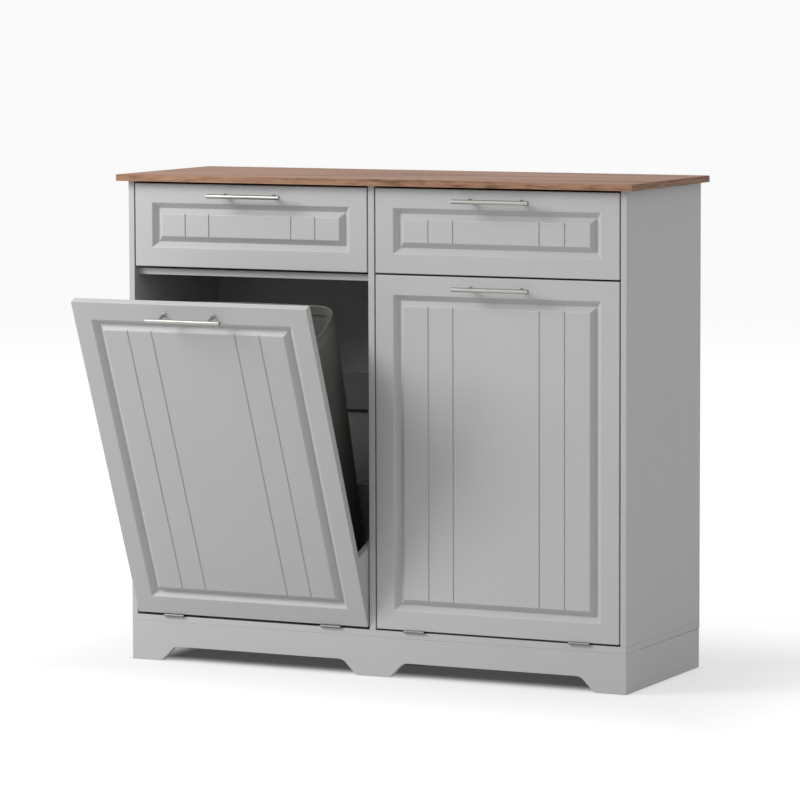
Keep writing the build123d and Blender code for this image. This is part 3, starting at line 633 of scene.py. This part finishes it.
def softened(corners, radii, steps=6):
    """A closed outline with each corner replaced by an arc that meets its two sides.

    The arc starts radius * tan(turn / 2) before the corner and turns from one side's way to the
    next. The outward direction at each point is the side's way turned a quarter clockwise.
    """
    corners, radii = np.asarray(corners, float), np.asarray(radii, float)
    arrive = corners - np.roll(corners, 1, 0)
    arrive /= np.linalg.norm(arrive, axis=1, keepdims=True)
    leave = np.roll(arrive, -1, 0)
    cross = arrive[:, 0] * leave[:, 1] - arrive[:, 1] * leave[:, 0]
    turn = np.arctan2(cross, (arrive * leave).sum(1))
    starts = corners - arrive * (radii * np.tan(np.abs(turn) / 2))[:, None]
    outward = np.stack([arrive[:, 1], -arrive[:, 0]], -1)
    reach = np.sign(turn) * radii
    centres = starts - outward * reach[:, None]
    first = np.arctan2(outward[:, 1], outward[:, 0])[:, None]
    angles = first + turn[:, None] * np.linspace(0, 1, steps + 1)
    ways = np.stack([np.cos(angles), np.sin(angles)], -1)
    points = centres[:, None] + ways * reach[:, None, None]
    return points.reshape(-1, 2), ways.reshape(-1, 2)


plinth_low, plinth_high = corners_of("front_plinth")
skirt_height, skirt_thick = plinth_high[2], plinth_high[1] - plinth_low[1]
half_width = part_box("right_side_panel")[1].x
near, far = FOOT_CENTRE / 2, half_width - FOOT_SIDE
arch = [(near, 0.0), (near + ARCH_HEIGHT, ARCH_HEIGHT)]
arch += [(far - ARCH_HEIGHT, ARCH_HEIGHT), (far, 0.0)]
mirror_arch = [(-x, z) for x, z in reversed(arch)]
skirt_corners = [(-half_width, 0.0), *mirror_arch, *arch, (half_width, 0.0)]
skirt_corners += [(half_width, skirt_height), (-half_width, skirt_height)]
arch_radii = [FOOT_ROUND, ARCH_ROUND, ARCH_ROUND, FOOT_ROUND]
skirt_radii = [FOOT_CORNER, *arch_radii, *arch_radii, FOOT_CORNER, EASED, EASED]
print("skirt corners", len(skirt_corners), "height", round(skirt_height / MM, 1))


# %% Skirts in place
def mitre_line(depth):
    """How far the outer corner is cut back at a depth in the board: the round, then the mitre."""
    inside = np.clip(FRONT_ROUND - depth, 0.0, FRONT_ROUND)
    return np.maximum(depth, FRONT_ROUND - np.sqrt(FRONT_ROUND**2 - inside**2))


def skirt(corners, radii, lowest, highest):
    """An outline in its own plane carried through the board and held inside its mitres.

    lowest(cut) and highest(cut) give how far an end may reach where the mitre cuts it back.
    """
    eased = eased_stations(0.0, skirt_thick, SKIRT_ARRIS)
    middle = np.linspace(SKIRT_ARRIS, skirt_thick - SKIRT_ARRIS, SKIRT_STEPS)[1:-1]
    near_face, far_face = np.split(eased, 2)
    stations = np.concatenate([near_face, np.stack([middle, middle * 0], -1), far_face])
    points, faces = carried(*softened(corners, radii), stations)
    cut = mitre_line(points[:, 2])
    points[:, 0] = np.clip(points[:, 0], lowest(cut), highest(cut))
    return points, faces


points, faces = skirt(
    skirt_corners, skirt_radii, lambda cut: cut - half_width, lambda cut: half_width - cut,
)
front_skirt = np.stack([points[:, 0], plinth_low[1] + points[:, 2], points[:, 1]], -1)
fixed("arched_skirt", "front_plinth", [(front_skirt, [face[::-1] for face in faces])])

front_line, rear_line = plinth_low[1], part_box("side_plinths")[1].y
side_corners = [(front_line, 0.0), (rear_line, 0.0)]
side_corners += [(rear_line, skirt_height), (front_line, skirt_height)]
points, faces = skirt(
    side_corners, [EASED, FOOT_CORNER, EASED, EASED],
    lambda cut: front_line + cut, lambda cut: rear_line,
)
right_skirt = np.stack([half_width - points[:, 2], points[:, 0], points[:, 1]], -1)
left_skirt = right_skirt * np.array([-1.0, 1.0, 1.0])
side_parts = [(right_skirt, [face[::-1] for face in faces]), (left_skirt, faces)]
fixed("side_skirts", "side_plinths", side_parts)

# %% [markdown]
# ## The routed fronts
# Each front is one board with a valley routed round its field by a V bit, and fine grooves that
# make the field look like planks. The depth of every point follows from two distances: how far it
# is in from the nearest edge, and how far from a groove. The grid has lines at the same insets on
# all four sides, so the valley's mitres fall exactly on its corners, and paint has filled every
# ridge to a small round.

# %% Front profile
FRAME_WIDTH, VALLEY_RUN, VALLEY_DEPTH = 35.6 * MM, 10.3 * MM, 9.5 * MM
RIDGE_SOFT, BED_SOFT = 1.0 * MM, 0.7 * MM
EDGE_ROUND, SIDE_ROUND = 1.2 * MM, 2.0 * MM
VALLEY_BED, FIELD_EDGE = FRAME_WIDTH + VALLEY_RUN, FRAME_WIDTH + 2 * VALLEY_RUN
GROOVE_FADE = (2.6 * MM, 1.1 * MM)
SAME_PLACE, DIGITS = 1e-7, 8


def soft_rise(distance, half):
    """Zero before a corner and a straight rise after it, joined by a parabola 2 * half wide."""
    near_corner = (np.clip(distance, -half, half) + half) ** 2 / (4 * half)
    return near_corner + np.maximum(distance - half, 0.0)


def valley(inset):
    """Depth of the valley at an inset: down from the frame, up to the field, corners softened."""
    ridge = soft_rise(inset - FRAME_WIDTH, RIDGE_SOFT)
    bed = soft_rise(inset - VALLEY_BED, BED_SOFT)
    field = soft_rise(inset - FIELD_EDGE, RIDGE_SOFT)
    return (ridge - 2 * bed + field) * VALLEY_DEPTH / VALLEY_RUN


def edge_fall(inset):
    """Depth of the front's rounded outer edge: a quarter circle."""
    inside = np.clip(EDGE_ROUND - inset, 0.0, EDGE_ROUND)
    return EDGE_ROUND - np.sqrt(EDGE_ROUND**2 - inside**2)


spread = np.linspace(-1.0, 1.0, 7)
INSETS = np.unique(np.round(np.concatenate([
    EDGE_ROUND * (1 - np.cos(np.radians(np.linspace(0.0, 90.0, 6)))), [SIDE_ROUND],
    FRAME_WIDTH + RIDGE_SOFT * spread, VALLEY_BED + BED_SOFT * spread[::2],
    FIELD_EDGE - np.linspace(*GROOVE_FADE, 7), FIELD_EDGE + RIDGE_SOFT * spread,
]), DIGITS))
print("insets", len(INSETS), "deepest", round(float(valley(INSETS).max() / MM), 2), "mm")

# %% The face of a front
GROOVE_HALF, GROOVE_DEPTH = 1.5 * MM, 1.8 * MM
GROOVES = np.array([-133.5, -84.5, 84.5, 133.5]) * MM
GROOVE_LINES = (GROOVES[:, None] + GROOVE_HALF * np.linspace(-1.0, 1.0, 5)).ravel()


def grid_lines(half, others=()):
    """Lines at every inset from both ends of a front, and any others."""
    return np.unique(np.round(np.concatenate([INSETS - half, half - INSETS, others]), DIGITS))


def bent_corners(X, Z, from_side, from_end, half):
    """The grid's square corners bent to quarter circles.

    A point keeps its inset, and its place along the square becomes its angle about the centre.
    """
    inset = np.minimum(from_side, from_end)
    reach = SIDE_ROUND - inset
    share = (np.maximum(from_side, from_end) - inset) / np.maximum(reach, SAME_PLACE)
    angle = np.radians(45.0) * (1 + np.sign(from_side - from_end) * np.clip(share, 0.0, 1.0))
    in_corner = (from_side < SIDE_ROUND) & (from_end < SIDE_ROUND)
    X = np.where(in_corner, np.sign(X) * (half[0] - SIDE_ROUND + reach * np.cos(angle)), X)
    Z = np.where(in_corner, np.sign(Z) * (half[2] - SIDE_ROUND + reach * np.sin(angle)), Z)
    return X, Z


def face_grid(half):
    """Points of the face, as deep as the larger of valley and groove, and which are on a mitre."""
    X, Z = np.meshgrid(grid_lines(half[0], GROOVE_LINES), grid_lines(half[2]))
    from_side, from_end = half[0] - np.abs(X), half[2] - np.abs(Z)
    inset = np.minimum(from_side, from_end)
    from_groove = np.abs(X[..., None] - GROOVES).min(-1)
    groove = GROOVE_DEPTH * np.clip(1 - from_groove / GROOVE_HALF, 0.0, 1.0)
    depth = np.maximum(valley(inset), groove * (inset > VALLEY_BED)) + edge_fall(inset)
    X, Z = bent_corners(X, Z, from_side, from_end, half)
    return np.stack([X, depth, Z], -1), np.abs(from_side - from_end) < SAME_PLACE


def face_faces(index, on_mitre):
    """Quads of the grid. One that a mitre crosses is split along it into two triangles."""
    a, b = index[:-1, :-1].ravel(), index[:-1, 1:].ravel()
    c, d = index[1:, 1:].ravel(), index[1:, :-1].ravel()
    rising, falling = on_mitre[a] & on_mitre[c], on_mitre[b] & on_mitre[d]
    quads = np.stack([a, b, c, d], -1)[~(rising | falling)]
    triangles = np.concatenate([
        np.stack([a, b, c], -1)[rising], np.stack([a, c, d], -1)[rising],
        np.stack([a, b, d], -1)[falling], np.stack([b, c, d], -1)[falling],
    ])
    return quads.tolist() + triangles.tolist()


print("groove lines", len(GROOVE_LINES))


# %% A front from its face
def side_rings(rim, half):
    """Rings round the sides: one at half the thickness, then a quarter circle to the back."""
    heart = np.clip(rim, SIDE_ROUND - half[[0, 2]], half[[0, 2]] - SIDE_ROUND)
    ways = (rim - heart) / SIDE_ROUND
    turns = np.radians(np.linspace(90.0, 0.0, 4))
    places = np.concatenate([[half[1]], 2 * half[1] - ARRIS * (1 - np.cos(turns))])
    draws = np.concatenate([[0.0], ARRIS * (1 - np.sin(turns))])
    rings = heart + (SIDE_ROUND - draws)[:, None, None] * ways
    depth = np.broadcast_to(places[:, None, None], (*rings.shape[:2], 1))
    return np.concatenate([rings[..., :1], depth, rings[..., 1:]], -1)


def front(low, high):
    """The face's grid, quads from its rim round the sides from ring to ring, and a flat back."""
    middle, half = (low + high) / 2, (high - low) / 2
    grid, on_mitre = face_grid(half)
    index = np.arange(on_mitre.size).reshape(on_mitre.shape)
    loop = np.concatenate([index[0, :-1], index[:-1, -1], index[-1, :0:-1], index[:0:-1, 0]])
    face = grid.reshape(-1, 3)
    sides = side_rings(face[loop][:, [0, 2]], half).reshape(-1, 3)
    below = np.concatenate([loop, len(face) + np.arange(len(sides))]).reshape(-1, len(loop))
    first, second = below[:-1], below[1:]
    walls = np.stack([np.roll(first, -1, 1), first, second, np.roll(second, -1, 1)], -1)
    points = np.concatenate([face, sides]) + [middle[0], low[1], middle[2]]
    faces = face_faces(index, on_mitre.ravel()) + walls.reshape(-1, 4).tolist()
    return points, faces + [below[-1][::-1].tolist()]


door_box, drawer_box = corners_of("right_door"), corners_of("right_drawer_front")
for side in SIDES:
    door = hung(side, front(*on_side(side, door_box)))
    piece(f"{side}_door_panelled", [door], f"{side}_bin_unit", "painted_board", f"{side}_door")
for side in SIDES:
    face, node = front(*on_side(side, drawer_box)), f"{side}_drawer_front"
    piece(f"{side}_drawer_panelled", [face], f"{side}_drawer", "painted_board", node)

# %% [markdown]
# ## Handles
# A bar pull is a straight rod on two turned posts. The rod's ends are faced square with the edge
# just broken, and each post flares to a collar where it meets the front. Both are lathe work, so
# both are a profile of radii carried round an axis.

# %% Bars and posts
BAR_RADIUS, BAR_BREAK, BAR_STATIONS, BAR_AROUND = 4.0 * MM, 0.5 * MM, 10, 40
POST_RADIUS, NECK_LENGTH, NECK_CURVE = 3.0 * MM, 3.6 * MM, 1.6
COLLAR_RADIUS, COLLAR_LENGTH = 4.5 * MM, 1.6 * MM
COLLAR_BREAK, COLLAR_STEP = 0.2 * MM, 0.3 * MM


def handle_bar(low, high):
    """A rod along x with its end edges broken by a quarter circle."""
    middle = (low + high) / 2
    turns = np.radians(np.linspace(0.0, 90.0, 4))
    along, radius = BAR_BREAK * (1 - np.cos(turns)), BAR_RADIUS - BAR_BREAK * (1 - np.sin(turns))
    shaft = np.linspace(low[0], high[0], BAR_STATIONS + 2)[1:-1]
    places = np.concatenate([low[0] + along, shaft, (high[0] - along)[::-1]])
    radii = np.concatenate([radius, np.full(BAR_STATIONS, BAR_RADIUS), radius[::-1]])
    return lathe(np.stack([places, radii], -1), (0.0, middle[1], middle[2]), "x", BAR_AROUND)


def handle_post(x, low, high):
    """A post along y: a collar on the front's face, a concave neck, then a straight stem.

    At NECK_LENGTH * bend down the neck, the radius is the stem's plus flare * (1 - bend) ** curve.
    """
    z, face = (low[2] + high[2]) / 2, high[1]
    neck_start, flare = COLLAR_LENGTH + COLLAR_STEP, COLLAR_RADIUS - POST_RADIUS - COLLAR_STEP
    collar = [
        (face, COLLAR_RADIUS - COLLAR_BREAK), (face - COLLAR_BREAK, COLLAR_RADIUS),
        (face - COLLAR_LENGTH, COLLAR_RADIUS), (face - neck_start, COLLAR_RADIUS - COLLAR_STEP),
    ]
    bend = np.sin(np.radians(np.linspace(0.0, 90.0, 7)))[1:]
    radii = POST_RADIUS + flare * (1 - bend) ** NECK_CURVE
    neck = np.stack([face - neck_start - NECK_LENGTH * bend, radii], -1)
    profile = np.concatenate([collar, neck, [(low[1], POST_RADIUS)]])[::-1]
    return lathe(profile, (x, 0.0, z), "y")


for name, body in (("door", "bin_unit"), ("drawer", "drawer")):
    bar_box = corners_of(f"right_{name}_handle_bar")
    post_low, post_high = corners_of(f"right_{name}_handle_posts")
    post_xs = (post_low[0] + COLLAR_RADIUS, post_high[0] - COLLAR_RADIUS)
    post_low[1] = (bar_box[0][1] + bar_box[1][1]) / 2
    for side, sign in (("right", 1), ("left", -1)):
        bar = handle_bar(*on_side(side, bar_box))
        posts = [handle_post(sign * x, post_low, post_high) for x in post_xs]
        if name == "door":
            bar, posts = hung(side, bar), [hung(side, post) for post in posts]
        prefix = f"{side}_{name}_handle"
        piece(f"{prefix}_rod", [bar], f"{side}_{body}", "brushed_nickel", f"{prefix}_bar")
        piece(f"{prefix}_stems", posts, f"{side}_{body}", "brushed_nickel", f"{prefix}_posts")

# %% [markdown]
# ## Bin carriers and drawer boxes
# Behind each door a shallow box of board carries the bin, and behind each drawer front is a plain
# box. Their boards are the carcase's boards again, only shorter. The left carrier is worked out
# shut, like the right one, and then swung open.

# %% Carriers and boxes
base_box, tray_box = corners_of("right_tray_base"), corners_of("right_tray_sides")
back_box, walls_box = corners_of("right_drawer_back"), corners_of("right_drawer_sides")
tray_back_box = corners_of("right_tray_back")


def side_pair(outer, inner):
    """The two side boards of a box, as corner pairs: what the outer box has beside the inner."""
    (low, high), (inner_low, inner_high) = outer, inner
    left = (low, np.array([inner_low[0], high[1], high[2]]))
    return [left, (np.array([inner_high[0], low[1], low[2]]), high)]


for side in SIDES:
    unit, drawer = f"{side}_bin_unit", f"{side}_drawer"
    sides = [hung(side, board(*on_side(side, b), "y")) for b in side_pair(tray_box, base_box)]
    back = hung(side, board(*on_side(side, tray_back_box), "x"))
    base = hung(side, board(*on_side(side, base_box), "x"))
    piece(f"{side}_carrier_sides", sides, unit, "painted_board", f"{side}_tray_sides")
    piece(f"{side}_carrier_back", [back], unit, "painted_board", f"{side}_tray_back")
    piece(f"{side}_carrier_base", [base], unit, "painted_board", f"{side}_tray_base")
    walls = [board(*on_side(side, b), "y") for b in side_pair(walls_box, back_box)]
    back = board(*on_side(side, back_box), "x")
    piece(f"{side}_box_sides", walls, drawer, "box_board", f"{side}_drawer_sides")
    piece(f"{side}_box_back", [back], drawer, "box_board", f"{side}_drawer_back")

# %% [markdown]
# ## The bins
# A waste bin is moulded in one piece: gently bowed walls that taper to the foot so that it leaves
# its mould, round corners, and a narrower collar round the mouth with a ledge inside it, which
# stiffens the rim. Its plan is four arcs joined by corner arcs. Walking it by the direction it
# faces gives points and outward directions together, so every ring is the same plan drawn in.

# %% The bin's plan
BIN_SIDE_ARC, BIN_FACE_ARC, BIN_CORNER = 252.0 * MM, 2500.0 * MM, 48.0 * MM


def bowed_plan(half_x, half_y, steps=14):
    """Four wide arcs and four corner arcs; a corner's centre is where two drawn-in arcs cross."""
    side_x, face_y = half_x - BIN_SIDE_ARC, half_y - BIN_FACE_ARC
    side_reach, face_reach = BIN_SIDE_ARC - BIN_CORNER, BIN_FACE_ARC - BIN_CORNER
    gap = math.hypot(side_x, face_y)
    along = (side_reach**2 - face_reach**2 + gap**2) / (2 * gap)
    across = math.sqrt(side_reach**2 - along**2)
    way = np.array([-side_x, face_y]) / gap
    centre = np.array([side_x, 0.0]) + along * way + across * np.array([-way[1], way[0]])
    side_turn = math.degrees(math.atan2(centre[1], centre[0] - side_x))
    face_turn = math.degrees(math.atan2(centre[1] - face_y, centre[0]))
    corner_sweep = face_turn - side_turn
    arcs = [
        corner_arc((side_x, 0.0), BIN_SIDE_ARC, -side_turn, steps, 2 * side_turn),
        corner_arc(centre, BIN_CORNER, side_turn, steps, corner_sweep),
        corner_arc((0.0, face_y), BIN_FACE_ARC, face_turn, steps, 180 - 2 * face_turn),
        corner_arc(centre * [-1, 1], BIN_CORNER, 180 - face_turn, steps, corner_sweep),
    ]
    points = np.concatenate([arc[0][:-1] for arc in arcs])
    ways = np.concatenate([arc[1][:-1] for arc in arcs])
    return np.concatenate([points, -points]), np.concatenate([ways, -ways])


bin_box = corners_of("right_bin")
bin_plan = bowed_plan(*((bin_box[1] - bin_box[0]) / 2)[:2])
print("the plan has", len(bin_plan[0]), "points")

# %% The bin's section
BIN_WALL, BIN_FLOOR = 2.6 * MM, 3.0 * MM
BIN_COLLAR, BIN_STEP, BIN_SHOULDER = 19.5 * MM, 2.0 * MM, 6.0 * MM
BIN_DRAFT, BIN_FOOT, FLOOR_RUN = math.tan(math.radians(3.0)), 9.0 * MM, 14.0 * MM
SHOULDER_ROUND, RIM_ROUND, LEDGE_ROUND = 2.0 * MM, 1.25 * MM, 0.6 * MM


def bin_section(top, steps=5):
    """Pairs of height and inset, from under the foot up the outside, over the rim, down inside.

    The line is open, so its two ends stay sharp and the points an arc would have there are dropped.
    """
    waist, collar = top - BIN_COLLAR, BIN_STEP + BIN_WALL
    foot = waist * BIN_DRAFT
    inner_foot = foot + BIN_WALL - BIN_FLOOR * BIN_DRAFT
    outside = [(0.0, foot + FLOOR_RUN), (0.0, foot), (waist, 0.0)]
    outside += [(waist + BIN_SHOULDER, BIN_STEP), (top, BIN_STEP)]
    inside = [(top, collar), (waist, collar), (waist, BIN_WALL)]
    inside += [(BIN_FLOOR, inner_foot), (BIN_FLOOR, inner_foot + FLOOR_RUN)]
    shoulder, rim, ledge = [SHOULDER_ROUND] * 2, [RIM_ROUND] * 2, [LEDGE_ROUND] * 2
    radii = [0.0, BIN_FOOT, *shoulder, *rim, *ledge, BIN_FOOT - BIN_WALL, 0.0]
    return softened(outside + inside, radii, steps)[0][steps:-steps]


for side in SIDES:
    low, high = on_side(side, bin_box)
    points, faces = carried(*bin_plan, bin_section(high[2] - low[2]))
    foot_middle = [(low[0] + high[0]) / 2, (low[1] + high[1]) / 2, low[2]]
    shell = hung(side, (points + foot_middle, faces))
    piece(f"{side}_waste_bin", [shell], f"{side}_bin_unit", "bin_plastic", f"{side}_bin")

# %% [markdown]
# ## Floor, room and lamps
# The photograph has a white room that fades into a white floor. The floor is a plain pale sheet
# whose own light shows only to the camera and in reflections, so it looks white and still takes the
# cabinet's shadow. That light is weaker near the cabinet and nearly gone under it, which paints
# shade on the floor round and under the cabinet, and the sheet turns clear before its edge shows.
# The room gives soft light from all round, and one large lamp from the left models the fronts and
# throws the open door's soft shadow.

# %% Floor
FLOOR_HALF, FLOOR_FADE = 9.0, (5.0, 8.5)
FLOOR_SEEN, FLOOR_BOUNCE = (0.33, 0.33, 0.33, 1.0), (0.60, 0.60, 0.60, 1.0)
# The floor's own light is lower near the cabinet and nearly gone under it: painted shade.
FLOOR_NEAR_SHADED, FLOOR_FAR, NEAR_FADE = 0.595, 0.82, (0.0, 0.55)
UNDERSIDE_FADE, UNDERSIDE_SHADED_LIGHT = (-0.065, 0.020), 0.10
WHITE = (0.97, 0.97, 0.97, 1.0)


def seen_directly(recipe):
    """1 for what the camera sees, also in metal or glass."""
    rays = recipe.add("LightPath", output="Is Camera Ray")
    either = rays.larger(rays.output("Is Glossy Ray"))
    return either.larger(rays.output("Is Transmission Ray"))


def floor_finish():
    """Matt white sheet whose own light grows with the distance from the cabinet: painted shade near
    it.
    """
    recipe = material("white_floor")
    x, y, _ = recipe.axes(recipe.place())
    outside = (abs(x) - half_width).larger(abs(y) - rear_line)
    # Painted shade: the own light drops near the cabinet and almost to nothing under it.
    clear = recipe.step(outside, *UNDERSIDE_FADE) * (1 - UNDERSIDE_SHADED_LIGHT) + UNDERSIDE_SHADED_LIGHT
    glow_with_painted_near_shade = FLOOR_NEAR_SHADED + recipe.step(outside, *NEAR_FADE) * (FLOOR_FAR - FLOOR_NEAR_SHADED)
    seen = seen_directly(recipe)
    tone = recipe.mix(seen, FLOOR_BOUNCE, FLOOR_SEEN)
    sheet = recipe.add("BsdfDiffuse", sockets={"Color": tone})
    own_light = recipe.add("Emission", sockets={"Color": WHITE, "Strength": seen * clear * glow_with_painted_near_shade})
    lit = recipe.add("AddShader", sockets={0: sheet, 1: own_light})
    gone = recipe.step((x * x + y * y) ** 0.5, *FLOOR_FADE)
    mixed = recipe.add("MixShader", sockets={0: gone, 1: lit, 2: recipe.add("BsdfTransparent")})
    recipe.add("OutputMaterial", sockets={"Surface": mixed})
    return recipe.owner


floor_mesh = bpy.data.meshes.new("floor")
corners = FLOOR_HALF * np.array([[-1, -1, 0], [1, -1, 0], [1, 1, 0], [-1, 1, 0]])
floor_mesh.from_pydata(corners.tolist(), [], [[0, 1, 2, 3]])
floor_mesh.materials.append(floor_finish())
floor = bpy.data.objects.new("floor", floor_mesh)
scene.collection.objects.link(floor)
print("floor", FLOOR_HALF * 2, "m across")

# %% Room light and lamps
ROOM_LIGHT, BACKDROP = 0.66, (0.950, 0.957, 0.953, 1.0)
KEY_TURN, KEY_RISE, KEY_FAR, KEY_SIZE, KEY_POWER = -50.0, 30.0, 3.6, 1.4, 95.0
FILL_TURN, FILL_RISE, FILL_FAR, FILL_SIZE, FILL_POWER = 75.0, 20.0, 4.0, 2.2, 1.5
AIM = np.array([0.0, 0.0, 0.45])

room = Recipe(bpy.data.worlds.new("white_room"))
scene.world = room.owner
around = room.add("Background", sockets={"Color": WHITE, "Strength": ROOM_LIGHT})
behind = room.add("Background", sockets={"Color": BACKDROP, "Strength": 1.0})
both = room.add("MixShader", sockets={0: seen_directly(room), 1: around, 2: behind})
room.add("OutputWorld", sockets={"Surface": both})


def lamp(name, turn, rise, far, size, power):
    """A square soft lamp, turn degrees right of the front and rise degrees up, facing AIM."""
    light = bpy.data.lights.new(name, "AREA")
    light.energy, light.size = power, size
    shown = bpy.data.objects.new(name, light)
    a, e = math.radians(turn), math.radians(rise)
    way = np.array([math.sin(a) * math.cos(e), -math.cos(a) * math.cos(e), math.sin(e)])
    facing = turned(turn, "Z") @ turned(90 - rise, "X")
    shown.matrix_world = Matrix.Translation(AIM + far * way) @ facing
    shown.visible_camera = False
    scene.collection.objects.link(shown)


lamp("key_lamp", KEY_TURN, KEY_RISE, KEY_FAR, KEY_SIZE, KEY_POWER)
lamp("fill_lamp", FILL_TURN, FILL_RISE, FILL_FAR, FILL_SIZE, FILL_POWER)
print("lamps at", KEY_TURN, "and", FILL_TURN, "degrees")

# %% [markdown]
